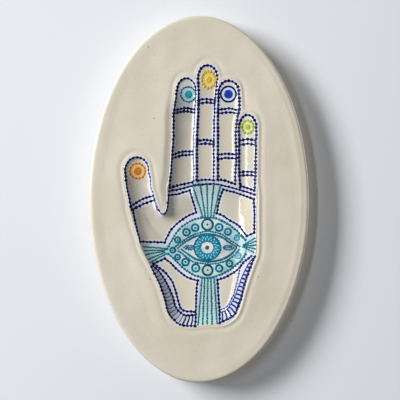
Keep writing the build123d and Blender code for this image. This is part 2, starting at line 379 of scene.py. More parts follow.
def relief(x, z):
    """Height of the front above the flat face, in millimetres."""
    depth, out = hand_hollow(x, z)
    beside_index = hump(x - SAG_X, SAG_HALF) * fade(np.abs(z - SAG_Z), *SAG_TALL)
    to_right = fade(-x, -30, 0)
    shift = 0.5 * to_right + 0.9 * to_right * fade(z, -10, 20)
    lip_height = LIP_LEAST + (LIP_MORE + LIP_RIGHT * to_right) * (1 - beside_index)
    lip = lip_height * hump(out - LIP_OUT - shift, LIP_HALF)
    groove = GROOVE_DEEP * (1 - beside_index) * hump(out - GROOVE_OUT - shift, GROOVE_HALF)
    sag = SAG_DEEP * beside_index * fade(out, *SAG_OUT)
    basin = BASIN_DEEP * fade(np.abs(x - BASIN_X), *BASIN_WIDE) * fade(np.abs(z - BASIN_Z), *BASIN_TALL)
    inset = 1 - np.hypot(x / FLAT_HALF_WIDTH, z / FLAT_HALF_HEIGHT)
    uneven = SWELL * ripple(x, z) * fade(inset, 0.1, 0) * fade(out, 14, 5)
    droop = RIM_DROOP * np.clip(x / HALF_WIDTH, 0, 1) * fade(inset, 0, 0.04)
    return lip - groove - sag - basin - depth + uneven - droop


test_depth, test_out = hand_hollow(np.array([5.0, 60.0]), np.array([-32.0, 60.0]))
print("hand depth in the palm", test_depth[0].round(2), "distance at the rim", test_out[1].round(1))

# %% [markdown]
# A flat oval could be a fan of triangles from the middle, but a fan is dense there and coarse at the rim.
# Squeezing a square grid into the oval keeps all cells about the same size, so the relief is equally
# sharp everywhere. The enamel later asks this grid how high the face is, so it lies on the mesh itself.

# %% The grid of the face
COLUMNS = 250
ROWS = 410
GLAZE_EDGE = 1.2
GLAZE_INSIDE = 0.8
GLAZE_OUTSIDE = 0.4


def oval_grid():
    """x and z of a square grid squeezed into the flat part of the face."""
    across, up = np.meshgrid(np.linspace(-1, 1, COLUMNS + 1), np.linspace(-1, 1, ROWS + 1))
    x = FLAT_HALF_WIDTH * across * np.sqrt(1 - up**2 / 2)
    z = FLAT_HALF_HEIGHT * up * np.sqrt(1 - across**2 / 2)
    return x.ravel(), z.ravel()


def grid_cells():
    """The four corners of each cell of the grid, turning so that it faces forward."""
    index = np.arange((COLUMNS + 1) * (ROWS + 1)).reshape(ROWS + 1, COLUMNS + 1)
    corners = [index[:-1, :-1], index[:-1, 1:], index[1:, 1:], index[1:, :-1]]
    return np.stack([each.ravel() for each in corners], axis=1), index


def on_grid(x, z):
    """Height of the face's mesh at a place, from the four corners of the cell it is in."""
    wide, tall = x / FLAT_HALF_WIDTH, z / FLAT_HALF_HEIGHT
    tilt = wide**2 - tall**2
    diagonal = 2 * math.sqrt(2)
    across = np.sqrt(2 + tilt + diagonal * wide) - np.sqrt(2 + tilt - diagonal * wide)
    up = np.sqrt(2 - tilt + diagonal * tall) - np.sqrt(2 - tilt - diagonal * tall)
    column, row = (across / 2 + 1) / 2 * COLUMNS, (up / 2 + 1) / 2 * ROWS
    left, below = column.astype(int), row.astype(int)
    right_share, upper_share = column - left, row - below
    height = grid_relief[grid_index]
    lower = height[below, left] * (1 - right_share) + height[below, left + 1] * right_share
    upper = height[below + 1, left] * (1 - right_share) + height[below + 1, left + 1] * right_share
    return lower * (1 - upper_share) + upper * upper_share


grid_x, grid_z = oval_grid()
cells, grid_index = grid_cells()
grid_depth, grid_out = hand_hollow(grid_x, grid_z)
grid_relief = relief(grid_x, grid_z)
glazed = fade(grid_out, GLAZE_EDGE - GLAZE_INSIDE, GLAZE_EDGE + GLAZE_OUTSIDE)
print(len(grid_x), "points in the face, the lowest", grid_relief.min().round(2), "mm")

# %% [markdown]
# The rim is a set of loops swept round the oval: a full edge in front, a round one behind, and the back,
# which closes in the middle. It wobbles a little and droops on its right, as a slab trimmed by hand does.
# A Bevel modifier could round the edges, but it would round them all alike.

# %% Loops of the rim
BACK_EDGE = 3.0
RIM_POWER = 0.65
RIM_WOBBLE = 0.2
FRONT_LOOPS = 10
EDGE_LOOPS = 6
BACK_LOOPS = (-14, -30, -50)
rim = np.concatenate([grid_index[0, :-1], grid_index[:-1, -1], grid_index[-1, :0:-1], grid_index[:0:-1, 0]])
rim_cos = grid_x[rim] / FLAT_HALF_WIDTH
rim_sin = grid_z[rim] / FLAT_HALF_HEIGHT
rim_turn = np.arctan2(rim_sin, rim_cos)
rim_wobble = RIM_WOBBLE * (1 + np.sin(3 * rim_turn + 1) * np.sin(5 * rim_turn))
rim_droop = RIM_DROOP * np.clip(rim_cos, 0, 1)
loops = []
for turn in np.linspace(0, 90, FRONT_LOOPS)[1:]:
    sine, cosine = math.sin(math.radians(turn)), max(math.cos(math.radians(turn)), 0)
    reach = sine**RIM_POWER
    loops.append((FRONT_EDGE * (reach - 1), FRONT_EDGE * (1 - cosine**RIM_POWER), reach))
side = BACK_Y - FACE_Y
for turn in np.linspace(0, 90, EDGE_LOOPS):
    reach = math.cos(math.radians(turn))
    loops.append((BACK_EDGE * reach - BACK_EDGE, side - BACK_EDGE * (1 - math.sin(math.radians(turn))), 1))
for inward in BACK_LOOPS:
    loops.append((inward, side, 1))
print(len(loops), "loops of", len(rim), "points")

# %% [markdown]
# One function makes every mesh below. It takes points in millimetres, shades the mesh smooth and lets the
# piece ride on the plaque's body. The slab is its first use: the grid in front, the loops behind it, and
# a point that closes the back. Where the glaze will lie, the clay is sunk, so the coat has room above it.

# %% The clay slab
CLAY_SUNK = 0.3


def make_piece(name, points, faces, node_names=()):
    """A mesh object from points in millimetres, smooth, riding on the plaque."""
    mesh = bpy.data.meshes.new(name)
    mesh.from_pydata(np.asarray(points) * MM, [], faces)
    mesh.polygons.foreach_set("use_smooth", [True] * len(mesh.polygons))
    mesh.update()
    piece = bpy.data.objects.new(name, mesh)
    bpy.context.scene.collection.objects.link(piece)
    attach(piece, "plaque")
    if node_names:
        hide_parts(*node_names)
    print(name, len(mesh.vertices), "points,", len(mesh.polygons), "faces")
    return piece


def placed(x, z, height):
    """Points in the object's frame, at a height above the flat face."""
    return np.stack([x, FACE_Y - height, z + CENTER_Z], axis=1)


clay_points = [placed(grid_x, grid_z, grid_relief - CLAY_SUNK * glazed)]
for grow, back, reach in loops:
    ring_x = (HALF_WIDTH + grow - rim_wobble * reach) * rim_cos
    ring_z = (HALF_HEIGHT + grow - rim_wobble * reach) * rim_sin
    clay_points.append(placed(ring_x, ring_z, -back - rim_droop * (1 - back / side)))
clay_points.append(np.array([[0, BACK_Y, CENTER_Z]]))
clay_faces = cells.tolist()
loop_index = [rim] + [len(grid_x) + k * len(rim) + np.arange(len(rim)) for k in range(len(loops))]
for front, behind in zip(loop_index, loop_index[1:]):
    strip = [front, behind, np.roll(behind, -1), np.roll(front, -1)]
    clay_faces += np.stack(strip, axis=1).tolist()
last = loop_index[-1]
middle = len(grid_x) + len(loops) * len(rim)
clay_faces += [(a, middle, b) for a, b in zip(last.tolist(), np.roll(last, -1).tolist())]
plaque_clay = make_piece("plaque_clay", np.vstack(clay_points), clay_faces, ["plaque_slab"])

# %% [markdown]
# The glossy glaze fills the hand and runs over its lip. It is a coat of its own: the cells of the grid
# that lie in the hand, a little above the clay, with an edge that dips into it.
# The Solidify modifier gives the coat its thickness, so it is a closed shell and not a loose sheet.

# %% The glaze coat
COAT_THICKNESS = 0.25
COAT_REACH = 1.4
EDGE_DIP = 0.5
coat_cells = cells[(grid_out[cells] < GLAZE_EDGE + COAT_REACH).all(axis=1)]
coat_used, coat_faces = np.unique(coat_cells, return_inverse=True)
coat_faces = coat_faces.reshape(coat_cells.shape)
coat_x, coat_z = grid_x[coat_used], grid_z[coat_used]
coat_height = grid_relief[coat_used] - EDGE_DIP * (1 - glazed[coat_used])
coat_points = placed(coat_x, coat_z, coat_height)
hand_coat = make_piece("hand_coat", coat_points, coat_faces.tolist(), ["hand_glaze"])
shell = hand_coat.modifiers.new("coat thickness", "SOLIDIFY")
shell.thickness = COAT_THICKNESS * MM
shell.offset = -1

# %% [markdown]
# The enamel is painted on the glaze, and each stroke stands up a little. Bump mapping could fake that,
# but real strokes catch the light from every side.
# A class collects the strokes of one piece: it keeps the x, z and lift of every point and the middle of
# its stroke. Once the piece is done, all points are laid on the face's mesh, and strokes on a steep wall
# are narrowed up the slope, so that they don't grow into long bars there.

# %% Strokes of enamel
FORESHORTEN = 0.26
STROKE_SLOPE_STEP = 0.6
POINT_SLOPE_STEP = 0.3


def slopes(x, z, step):
    """How steeply the face's mesh climbs, across and up."""
    across = on_grid(x + step, z) - on_grid(x - step, z)
    up = on_grid(x, z + step) - on_grid(x, z - step)
    return across / (2 * step), up / (2 * step)


class Strokes:
    """Collects strokes, each from a pot of colour, and makes one piece of them."""

    def __init__(self, seed):
        self.random = random.Random(seed)
        self.points = []
        self.faces = []
        self.pots = []
        self.pot = 0

    def add(self, points, faces):
        """Keeps the points and faces of a stroke, in the colour of the pot in use."""
        first = len(self.points)
        self.points += points
        self.faces += [[first + corner for corner in face] for face in faces]
        self.pots += [self.pot] * len(faces)

    def rings(self, rings, closed=False):
        """Joins rings of points that go round a stroke, with flat ends unless it is closed."""
        count = len(rings[0])
        faces = []
        for k in range(len(rings) - (0 if closed else 1)):
            after = (k + 1) % len(rings)
            for i in range(count):
                j = (i + 1) % count
                faces.append([k * count + i, after * count + i, after * count + j, k * count + j])
        if not closed:
            faces.append(list(range(count)))
            faces.append([(len(rings) - 1) * count + i for i in reversed(range(count))])
        self.add([point for ring in rings for point in ring], faces)

    def make(self, name, node_names=(), slot=None):
        """Lays all strokes on the face's mesh, narrowed where it is steep, and makes the piece."""
        x, z, lift, middle_x, middle_z = np.array(self.points).T
        slope_x, slope_z = slopes(middle_x, middle_z, STROKE_SLOPE_STEP)
        steep = slope_x**2 + slope_z**2
        narrow = (1 - (1 + steep) ** -FORESHORTEN) / np.maximum(steep, 1e-9)
        uphill = narrow * ((x - middle_x) * slope_x + (z - middle_z) * slope_z)
        x, z = x - uphill * slope_x, z - uphill * slope_z
        slope_x, slope_z = slopes(x, z, POINT_SLOPE_STEP)
        lift = lift * np.sqrt(1 + slope_x**2 + slope_z**2)
        piece = make_piece(name, placed(x, z, on_grid(x, z) + lift), self.faces, node_names)
        piece.data.polygons.foreach_set("material_index", self.pots)
        return piece


print("a slope on the face:", [each.round(2) for each in slopes(np.array([-18.0]), np.array([40.0]), 1.0)])

# %% [markdown]
# A painter has three strokes. A dab is a low dome, a line is a strip with a rounded back, and a wash is
# a flat patch. No two come out alike, so dabs vary by chance and lines swell a little along the way.
# A bevelled curve object could make lines too, but it would not follow the clay below it.

# %% A brush for dabs, lines and washes
STROKE_FOOT = 0.12
LINE_STEP = 0.8
LINE_UNEVEN = 0.12
WASH_STEP = 1.0
DOME = ((0.92, 0.45), (0.6, 0.88), (0.2, 1))


class Brush(Strokes):
    """Paints raised dabs, lines and washes."""

    def dab(self, x, z, half_long, half_wide=None, turn=0.0, lift=0.2, base=0.0, sides=10, jitter=0.16):
        """A low dome. Its size, place and turn vary a little, as by hand."""
        vary = self.random.uniform
        half_wide = (half_wide or half_long) * (1 + vary(-jitter, jitter))
        half_long = half_long * (1 + vary(-jitter, jitter))
        x += vary(-jitter, jitter)
        z += vary(-jitter, jitter)
        turn += vary(-jitter, jitter)
        rings = []
        profile = [(1, base - STROKE_FOOT)] + [(reach, base + rise * lift) for reach, rise in DOME]
        for reach, height in profile:
            ring = []
            for k in range(sides):
                angle = 2 * math.pi * k / sides
                long = reach * half_long * math.cos(angle)
                wide = reach * half_wide * math.sin(angle)
                across = long * math.cos(turn) - wide * math.sin(turn)
                up = long * math.sin(turn) + wide * math.cos(turn)
                ring.append((x + across, z + up, height, x, z))
            rings.append(ring[::-1])
        self.rings(rings)

    def dabs(self, points, spacing, half_long, half_wide=None, closed=False, **shape):
        """A row of dabs along a soft curve, turned along it."""
        curve = smooth_curve(points, closed)
        if closed:
            curve = np.vstack([curve, curve[:1]])
        places = even_points(curve, spacing)
        ways = np.gradient(places, axis=0)
        for (x, z), (way_x, way_z) in list(zip(places, ways))[: -1 if closed else None]:
            self.dab(x, z, half_long, half_wide, math.atan2(way_z, way_x), **shape)

    def line(self, points, half_wide, lift=0.16, base=0.0, closed=False, smooth=True, taper=0.0):
        """A raised line along a curve, thicker in its middle."""
        curve = smooth_curve(points, closed) if smooth else np.asarray(points, float)
        if closed:
            curve = np.vstack([curve, curve[:1]])
        curve = even_points(curve, LINE_STEP)
        if closed:
            curve = curve[:-1]
            ways = np.roll(curve, -1, axis=0) - np.roll(curve, 1, axis=0)
        else:
            ways = np.gradient(curve, axis=0)
        ways /= np.hypot(*ways.T)[:, None]
        foot, shoulder = base - STROKE_FOOT, base + 0.5 * lift
        profile = ((-1, foot), (-0.85, shoulder), (0, base + lift), (0.85, shoulder), (1, foot))
        rings = []
        for k, ((x, z), (way_x, way_z)) in enumerate(zip(curve, ways)):
            wide = half_wide * (1 + LINE_UNEVEN * math.sin(1.7 * k) * math.sin(0.6 * k + 1))
            if taper:
                wide *= 1 - taper * abs(2 * k / (len(curve) - 1) - 1) ** 3
            ring = []
            for reach, height in profile:
                ring.append((x - way_z * wide * reach, z + way_x * wide * reach, height, x, z))
            rings.append(ring)
        self.rings(rings, closed)

    def wash(self, outline, lift, base=0.0, loops=16):
        """A flat patch inside a closed outline, thinning at its edge."""
        curve = even_points(np.vstack([outline, outline[:1]]), WASH_STEP)[:-1]
        middle = curve.mean(axis=0)
        under = [(k / loops, base - STROKE_FOOT) for k in range(1, loops + 1)]
        over = [(k / loops, base + lift) for k in range(loops - 1, 0, -1)]
        rings = []
        for reach, height in under + [(0.995, base + lift / 2)] + over:
            places = middle + (curve - middle) * reach
            rings.append([(x, z, height, x, z) for x, z in places])
        self.rings(rings)


print("brush ready")

# %% [markdown]
# Cobalt dots follow the whole hand. The line round each finger comes from the finger's levels,
# so dots and hollow can't drift apart. Double rows cross each finger at its joints.
# The dots sit on a thin string of the same colour, because wet enamel runs from one into the next.
# An Array modifier could set dots along a curve, but all alike; a loop lets each differ by chance.

# %% Dots round the fingers
DOT_SPACING = 2.55
DOT_LONG = 1.15
DOT_WIDE = 1.0
DOT_LIFT = 0.14
STRING_WIDE = 0.42
STRING_LIFT = 0.08
FINGER_STRING = 0.5
FINGER_DOT = 1.18
BANDS = {
    "thumb": [[(-46.8, -5), (-39, 0), (-31.4, 2.3)], [(-45.2, -7), (-38, -3.2), (-30.5, -0.5)]],
    "index": [
        [(-17, 60.5), (-10, 62.2), (-3.2, 61.5)], [(-17.2, 58.4), (-10, 60), (-3.2, 59.2)],
        [(-18.3, 30.2), (-12, 32.3), (-4.2, 32.8)], [(-18.2, 27.8), (-12, 29.9), (-4.2, 30.5)],
        [(-20, 8), (-12, 10), (-4.8, 11.7)],
    ],
    "middle": [
        [(-0.4, 67.5), (5, 68.3), (10.8, 67.6)], [(-0.4, 65.2), (5, 65.9), (10.6, 65.3)],
        [(-1.4, 39.6), (4, 40.4), (10, 39.6)], [(-1.4, 37.2), (4, 37.9), (10, 37.4)],
        [(-1, 12.8), (4, 13.3), (9.7, 13)],
    ],
    "ring": [
        [(13, 60.8), (20, 61.8), (27.2, 60.6)], [(13, 58.4), (20, 59.3), (26.6, 58.4)],
        [(12.9, 30.4), (19, 31), (25, 30.2)], [(12.9, 27.4), (19, 28.2), (25, 27.6)],
        [(12.6, 13.4), (18, 12.6), (24.4, 10.6)],
    ],
    "little": [
        [(27.4, 39.9), (33, 40.9), (38.4, 40)], [(27.4, 37), (33, 37.8), (38.4, 37)],
        [(27.4, 18.4), (33, 18.9), (38.2, 18.4)], [(27.4, 16), (33, 16.4), (38.2, 16)],
        [(28.2, 9), (33, 7.6), (37.6, 6)],
    ],
}


def finger_line(finger):
    """The dotted line round a finger: up its left side, over its tip and down its right."""
    top, left_top, right_top = finger["levels"][-1]
    middle, half = (left_top + right_top) / 2, (right_top - left_top) / 2
    cap = []
    for turn in range(20, 161, 20):
        angle = math.radians(turn)
        cap.append((middle - half * math.cos(angle), top + (finger["tip"] - top) * math.sin(angle)))
    left = [(edge, z) for z, edge, _ in finger["levels"]]
    right = [(edge, z) for z, _, edge in reversed(finger["levels"])]
    return left + cap + right


def strung_dots(brush, points, string=STRING_WIDE, wide=DOT_WIDE):
    """A row of dots on a thin line."""
    brush.line(points, string, lift=STRING_LIFT)
    brush.dabs(points, DOT_SPACING, DOT_LONG, wide, lift=DOT_LIFT)


cobalt_lines = [finger_line(finger) for finger in FINGERS.values()]
cobalt_lines += [row for rows in BANDS.values() for row in rows]
finger_dots = Brush(1)
for points in cobalt_lines:
    strung_dots(finger_dots, points, FINGER_STRING, FINGER_DOT)
finger_dots_piece = finger_dots.make("finger_dots", slot="cobalt_enamel")

# %% [markdown]
# In the palm the dots frame four bare panels round the eye, and double rows close the fingers off.
# Each stretch between two corners is its own curve, because a soft curve would round the corners.
# One row at the wrist is faint: thin slate dots, with cobalt only on its first stretch.

# %% Dots in the palm
PALM_LINES = [
    [(-30.3, -0.5), (-28.5, -5.5), (-26, -9.5), (-24.2, -10.2), (-22.5, -8.8), (-21.5, -5), (-20.9, 2.5)],
    [(-45, -7), (-43.5, -15.5), (-41.3, -24), (-40.2, -28.8)],
    [(-40.2, -28.8), (-32, -29.2), (-23.5, -29.5)],
    [(-23.5, -29.5), (-22, -26), (-18.5, -20), (-13, -15), (-7, -11), (-2, -9)],
    [(-2, -9), (-3, -5), (-5, 1), (-6.5, 6)],
    [(-6.5, 6), (-10, 5), (-15, 3.4), (-20.7, 2.7)],
    [(-20.5, 5.5), (-12, 7.2), (-6, 8.8), (3, 10.2), (12, 10.2), (21, 8.2), (28, 6.3), (37.5, 3.3)],
    [(16.5, 6.7), (23, 5), (28, 3.4), (37.2, 0)],
    [(37.2, 0), (37.6, -10), (37.5, -22.8)],
    [(37.5, -22.8), (35, -24), (32.5, -25)],
    [(32.5, -25), (30, -22), (27, -18), (22, -15), (16, -11.2), (12, -9.5)],
    [(12, -9.5), (14, 0), (16.5, 6.7)],
    [(-31, -44), (-27, -42), (-23.5, -40.5)],
    [(-23.5, -40.5), (-20, -43), (-15, -48), (-10, -52), (-5, -54.5), (-1, -55.5)],
    [(-1, -55.5), (-1.8, -62), (-2.1, -70), (-2.3, -79), (-2.8, -86)],
    [(12.5, -55), (18, -53), (24, -49.6), (27.6, -46.6)],
    [(12.5, -55), (13, -63), (13.6, -72), (14, -84)],
    [(-31, -44), (-23.5, -49.8), (-18, -57), (-15, -66.5), (-12.8, -74), (-9, -76.3), (-3, -76.8)],
]
FAINT_LINE = [(35.4, -38.8), (31.6, -41.8), (28.5, -45), (26, -55), (23.5, -65), (19, -73), (15, -75)]
PALM_STRING = 0.56
FAINT_STRING = 0.3
FAINT_SPACING = 2.2
FAINT_DOT = (0.9, 0.62)
cobalt_lines += PALM_LINES + [FAINT_LINE]
palm_dots = Brush(2)
for points in PALM_LINES:
    strung_dots(palm_dots, points, PALM_STRING)
strung_dots(palm_dots, FAINT_LINE[:3], PALM_STRING)
palm_dots.pot = 1
palm_dots.line(FAINT_LINE, FAINT_STRING, lift=STRING_LIFT)
palm_dots.dabs(FAINT_LINE, FAINT_SPACING, *FAINT_DOT, lift=DOT_LIFT)
palm_dots_piece = palm_dots.make("palm_dots", slot="cobalt_enamel")

# %% [markdown]
# Two ladders run down the wrist, between the hand's edge and an inner row. The left one has thin slate rungs
# square to it, the right one bold blue rungs that slant. Each rung bows a little, as a brush stroke does.
# Both ends of a rung are looked up along the two curves, so the rungs turn with the bend of the wrist.

# %% Ladders on the wrist
LADDERS = {
    "left": dict(
        outer=[
            (-32.5, -46), (-30.5, -50.5), (-26.5, -58.5), (-23.6, -67),
            (-21, -77), (-14.5, -84.3), (-9.5, -86), (-3, -86),
        ],
        inner=[
            (-31.6, -45.3), (-27.5, -49), (-22.5, -56.5), (-18.5, -65),
            (-15.6, -74.4), (-11, -78.5), (-7, -79), (-2.6, -79),
        ],
        rung_spacing=2.6, rung_wide=0.32, slant=0.0, pot=1, bold_end=3,
    ),
    "right": dict(
        outer=[
            (37.6, -39), (34.8, -46), (32.2, -53.5), (30.1, -60.5),
            (28.2, -68), (25.5, -75.5), (22, -80.3), (14, -84),
        ],
        inner=[
            (36.4, -40), (32.7, -45.4), (28.9, -53.5), (26.5, -60),
            (23.9, -67), (20.9, -72.4), (18.6, -75.3), (14.2, -77.4),
        ],
        rung_spacing=2.8, rung_wide=0.72, slant=0.3, pot=2, bold_end=2,
    ),
}
BOLD_RUNG = 0.6
RUNG_BOW = 0.35
SHORTEST_RUNG = 1.0
ladder_bands = []
ladders = Brush(3)
for ladder in LADDERS.values():
    outer = smooth_curve(ladder["outer"])
    inner = smooth_curve(ladder["inner"])
    between = (np.array(ladder["outer"]) + np.array(ladder["inner"])) / 2
    cobalt_lines += [ladder["outer"], ladder["inner"]]
    ladder_bands.append(between)
    ladders.pot = 0
    strung_dots(ladders, ladder["outer"])
    if ladder["slant"]:
        ladders.line(ladder["outer"], BOLD_RUNG, lift=STRING_LIFT)
        ladders.pot = ladder["pot"]
        ladders.line(ladder["inner"], STRING_WIDE, lift=STRING_LIFT)
    else:
        strung_dots(ladders, ladder["inner"])
    steps = np.hypot(*np.diff((outer + inner) / 2, axis=0).T)
    along = np.concatenate([[0], np.cumsum(steps)])
    rungs = np.arange(ladder["rung_spacing"], along[-1], ladder["rung_spacing"])
    for k, place in enumerate(rungs):
        slanted = place - ladder["slant"] * ladder["rung_spacing"]
        far = np.array([np.interp(place, along, axis) for axis in outer.T])
        near = np.array([np.interp(slanted, along, axis) for axis in inner.T])
        span = np.hypot(*(far - near))
        if span < SHORTEST_RUNG:
            continue
        bow = RUNG_BOW * np.array([near[1] - far[1], far[0] - near[0]]) / span
        bold = k >= len(rungs) - ladder["bold_end"]
        ladders.pot = 0 if bold else ladder["pot"]
        rung_wide = BOLD_RUNG if bold else ladder["rung_wide"]
        ladders.line([near, (near + far) / 2 + bow, far], rung_wide, lift=STRING_LIFT)
wrist_ladders = ladders.make("wrist_ladders", slot="cobalt_enamel")

# %% [markdown]
# The eye lies across the palm. Under it is a thin aqua wash, over that the white of the eye,
# and then lids, iris and pupil. Each colour is its own thin coat on top of the one before,
# because enamel is painted and fired in layers.

# %% Washes of the eye
PANEL_UPPER = [
    (-22, -34), (-18.8, -28.2), (-16.6, -24.4), (-13, -19.8), (-8.5, -16.4), (-3.2, -13.8), (2.1, -12.6),
    (9.7, -12.6), (15, -14.5), (19.5, -16.8), (23.3, -19.4), (27, -22.8), (31.4, -27.6),
]
PANEL_LOWER = [
    (33, -32.4), (31.6, -37.5), (28.4, -42), (23.8, -46), (19.5, -49), (15, -51.2), (8.9, -53.2),
    (4.4, -53.6), (-1.6, -52.5), (-7.7, -49.3), (-12.2, -45.9), (-16.8, -41.3), (-20.9, -37.2),
]
LID_UPPER = [
    (-15, -33.8), (-10.7, -30), (-6.9, -27.7), (-2.8, -25.6),
    (5.6, -23.7), (15, -25.7), (19.5, -28.7), (25.6, -32.6),
]
LID_LOWER = [
    (25.6, -32.8), (22.5, -36.8), (18.7, -39.5), (13.5, -41.6), (5.9, -42.6),
    (-0.9, -41.3), (-4.7, -39.5), (-8.5, -36.8), (-12.6, -33.9),
]
WASH_LIFT = 0.05
WHITE_BASE = 0.08
panel_curve = smooth_curve(PANEL_UPPER + PANEL_LOWER, closed=True)
white_curve = smooth_curve(LID_UPPER + LID_LOWER[1:], closed=True)
panel_brush = Brush(4)
panel_brush.wash(panel_curve, WASH_LIFT)
eye_panel_wash = panel_brush.make("eye_panel_wash", ["eye_panel"], "aqua_enamel")
white_brush = Brush(5)
white_brush.wash(white_curve, WASH_LIFT, base=WHITE_BASE, loops=12)
eye_white_wash = white_brush.make("eye_white_wash", ["eye_white"], "white_enamel")

# %% [markdown]
# The lids are bold lines with a row of fine dots outside them, like lashes. A leaf of dots lies in
# each corner. One leaf is drawn once, round its own middle, and set in place twice, turned the other way
# on the right.

# %% Lids
LASHES_UPPER = [
    (-17.4, -33.2), (-10.7, -28.1), (-6.2, -25.5), (-1.6, -23.4),
    (5.9, -21.9), (15, -23.7), (19.5, -26.8), (27.6, -32.2),
]
LASHES_LOWER = [
    (27.4, -34.4), (23.3, -38.5), (19.5, -41.2), (15, -43.1), (5.9, -44.2),
    (-3.2, -42.9), (-6.9, -41), (-10.7, -37.9), (-14.2, -35.4),
]
LEAF = [
    (-3.6, 0), (-2.2, 0.9), (-0.6, 1.4), (1, 1.4), (2.4, 0.9),
    (3.2, 0), (2.4, -0.9), (1, -1.4), (-0.6, -1.4), (-2.2, -0.9),
]
LEAF_STEM = (-2.2, 0, 2)
EYE_CENTER = (5.5, -33.0)
EYE_BASE = 0.12
LASH_BASE = 0.05
LID_WIDE = 0.8
LASH_STRING = 0.36
LASH_SPACING = 1.75
LASH_DOT = (0.8, 0.76)
LEAF_DOT = (0.92, 0.76)
STEM_WIDE = 0.5
lids = Brush(6)
for points in (LID_UPPER, LID_LOWER):
    lids.line(points, LID_WIDE, base=EYE_BASE, taper=0.3)
for points in (LASHES_UPPER, LASHES_LOWER):
    lids.line(points, LASH_STRING, lift=0.12, base=LASH_BASE)
    lids.dabs(points, LASH_SPACING, *LASH_DOT, base=LASH_BASE)
for leaf_x, way in ((-6.6, 1), (19.9, -1)):
    for step, rise in LEAF:
        lids.dab(leaf_x + way * step, EYE_CENTER[1] + rise, *LEAF_DOT, base=EYE_BASE)
    lids.line([(leaf_x + way * step, EYE_CENTER[1]) for step in LEAF_STEM], STEM_WIDE, base=EYE_BASE)
eye_lid_lines = lids.make("eye_lid_lines", ["eye_lids"], "teal_enamel")

# %% [markdown]
# The iris is a broad turquoise ring with a teal rim and a row of beads along each of its edges.
# Two rows of pale flecks stand on it like spokes, and the pupil is one round drop in the middle.
# Flecks and beads are small strokes of their own, because a texture on the ring would stay flat.

# %% Iris and pupil
IRIS_TALL = 0.95
IRIS_RADIUS = 6.75
IRIS_HALF = 2.5
IRIS_RIM = 8.9
IRIS_RIM_WIDE = 0.55
IRIS_RIM_BASE = EYE_BASE + 0.05
OUTER_ROW = 9.15
OUTER_BEADS = dict(spacing=1.65, half_long=0.7, half_wide=0.62, base=IRIS_RIM_BASE)
INNER_ROW = 4.4
INNER_BEADS = dict(spacing=1.2, half_long=0.5, half_wide=0.4, base=EYE_BASE + 0.1)
FLECKS = 36
FLECK_ROWS = (6.0, 7.7)
FLECK_BASE = EYE_BASE + 0.13
FLECK_SIZE = (0.95, 0.34)
PUPIL_RADIUS = 1.5


def circle(x, z, radius, tall=1.0, count=24):
    """Points round a circle, or an oval when its height is not its width."""
    angles = np.arange(count) * 2 * math.pi / count
    return np.stack([x + radius * np.cos(angles), z + radius * tall * np.sin(angles)], axis=1)


def iris_circle(radius):
    """Points round the iris, which is a little wider than tall."""
    return circle(*EYE_CENTER, radius, IRIS_TALL)


iris = Brush(7)
iris.line(iris_circle(IRIS_RADIUS), IRIS_HALF, lift=0.12, base=EYE_BASE, closed=True)
iris.pot = 1
iris.line(iris_circle(IRIS_RIM), IRIS_RIM_WIDE, lift=0.14, base=IRIS_RIM_BASE, closed=True)
iris.dabs(iris_circle(OUTER_ROW), closed=True, **OUTER_BEADS)
iris.dabs(iris_circle(INNER_ROW), closed=True, **INNER_BEADS)
eye_iris_ring = iris.make("eye_iris_ring", ["eye_iris"], "turquoise_enamel")

flecks = Brush(8)
for k, turn in enumerate(np.arange(FLECKS) * 2 * math.pi / FLECKS):
    radius = FLECK_ROWS[k % 2]
    fleck_x = EYE_CENTER[0] + radius * math.cos(turn)
    fleck_z = EYE_CENTER[1] + IRIS_TALL * radius * math.sin(turn)
    flecks.dab(fleck_x, fleck_z, *FLECK_SIZE, turn, lift=0.12, base=FLECK_BASE)
eye_flecks = flecks.make("eye_flecks", slot="aqua_enamel")

pupil = Brush(9)
pupil.dab(*EYE_CENTER, PUPIL_RADIUS, lift=0.2, base=EYE_BASE, sides=20, jitter=0.03)
eye_pupil_dot = pupil.make("eye_pupil_dot", ["eye_pupil"], "cobalt_enamel")

# %% [markdown]
# Circlets ring the eye, large above and below it and smaller towards the corners. Each is a pale drop with
# a line round it and a dot in it. In the right corner the lines are a paler teal, which is a painted
# highlight.
# A torus for each ring would be round but stiff; brush lines swell and follow the bowl.
# A row of teal dots borders them.

# %% Circlets and border
CIRCLETS = [
    (-14.9, -27.7, 1.8), (-8.8, -22.5, 2.3), (-2.8, -19.4, 2.3), (5.7, -17.3, 3.7), (13.5, -19.2, 2.4),
    (19.5, -22.1, 2.1), (25.4, -26.2, 1.7), (-18.1, -34.8, 1.7), (-14.9, -39.5, 1.7), (-9.4, -42.9, 2.3),
    (-2.4, -46.9, 2.5), (5.7, -48.4, 3.4), (13.6, -47.1, 2.2), (20.6, -43.8, 2), (26.4, -38.4, 1.8),
]
LARGE_LINE, SMALL_FILL, LARGE_FILL, SMALL_LINE, HIGHLIGHT_LINE = range(5)
LARGE_CIRCLET = 3
MIDDLE_CIRCLET = 2.2
HIGHLIGHT_CORNER = 24.0
CIRCLET_WIDE = 0.8
BORDER_STRING = 0.34
BORDER_SPACING = 2.1
BORDER_DOT = (0.95, 0.98)
BORDER_BASE = 0.04
circlets = Brush(10)
for x, z, radius in CIRCLETS:
    large = radius > LARGE_CIRCLET
    # painted highlight: small circlets right of this line get a paler teal line
    small_line = HIGHLIGHT_LINE if x > HIGHLIGHT_CORNER else SMALL_LINE
    around = circle(x, z, radius, count=16)
    circlets.pot = LARGE_FILL if large else SMALL_FILL
    circlets.wash(around, 0.03, base=0.06, loops=3)
    circlets.pot = LARGE_LINE if large else small_line
    circlets.line(around, CIRCLET_WIDE, base=0.07, closed=True)
    circlets.dab(x, z, 0.8 if radius > MIDDLE_CIRCLET else 0.66, base=0.09)
eye_circlet_rings = circlets.make("eye_circlet_rings", ["eye_circlets"], "teal_enamel")
border = Brush(11)
